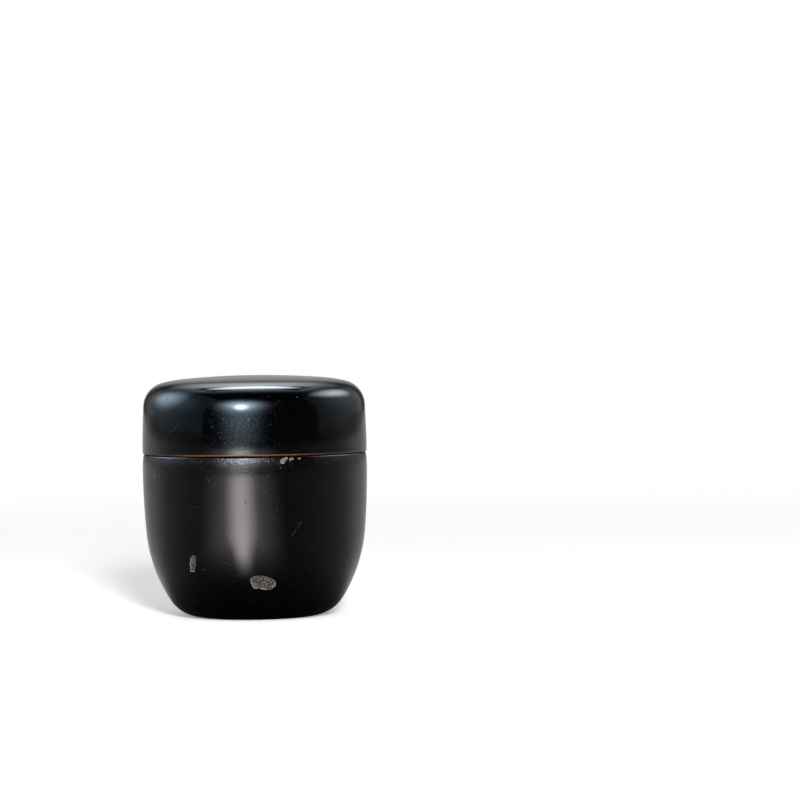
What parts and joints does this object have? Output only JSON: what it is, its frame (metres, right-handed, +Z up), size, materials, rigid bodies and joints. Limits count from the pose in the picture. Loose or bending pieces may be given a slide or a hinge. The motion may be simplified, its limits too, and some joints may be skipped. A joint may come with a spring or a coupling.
{
  "type": "tea caddy",
  "caption": "Round black-lacquered tea caddy with a rounded, tapering body on a flat foot and a low domed lid that lifts straight off a standing rim.",
  "frame": {"origin": "the middle of the foot, on the surface the caddy stands on", "axes": "+Z up along the axis that both halves are turned about; the side seen in the picture faces -Y"},
  "size_m": [0.066, 0.066, 0.0708],
  "materials": {
    "black_lacquer_lid": "polished black lacquer, cool blue-black, with fine scratches",
    "black_lacquer_body": "black lacquer aged to a warm brown-black, a little duller, flaked in places",
    "red_lacquer": "worn red-brown lacquer",
    "clay_ground": "grey-brown, grainy clay and lacquer ground",
    "hemp_cloth": "plain-woven hemp soaked in lacquer",
    "turned_wood": "bare turned close-grained hardwood"
  },
  "bodies": {
    "caddy body": {"body_core": "turned_wood", "body_mouth_cloth": "hemp_cloth", "body_foot_cloth": "hemp_cloth", "body_ground": "clay_ground", "body_black_coat": "black_lacquer_body", "base_black_coat": "black_lacquer_body", "body_red_lining": "red_lacquer"},
    "lid": {"lid_core": "turned_wood", "lid_rim_cloth": "hemp_cloth", "lid_ground": "clay_ground", "lid_black_coat": "black_lacquer_lid", "lid_red_lining": "red_lacquer"}
  },
  "joints": [
    {"name": "lid_lift", "type": "slide", "parent": "caddy body", "child": "lid", "axis": [0, 0, 1], "range_m": [0, 0.06]}
  ]
}
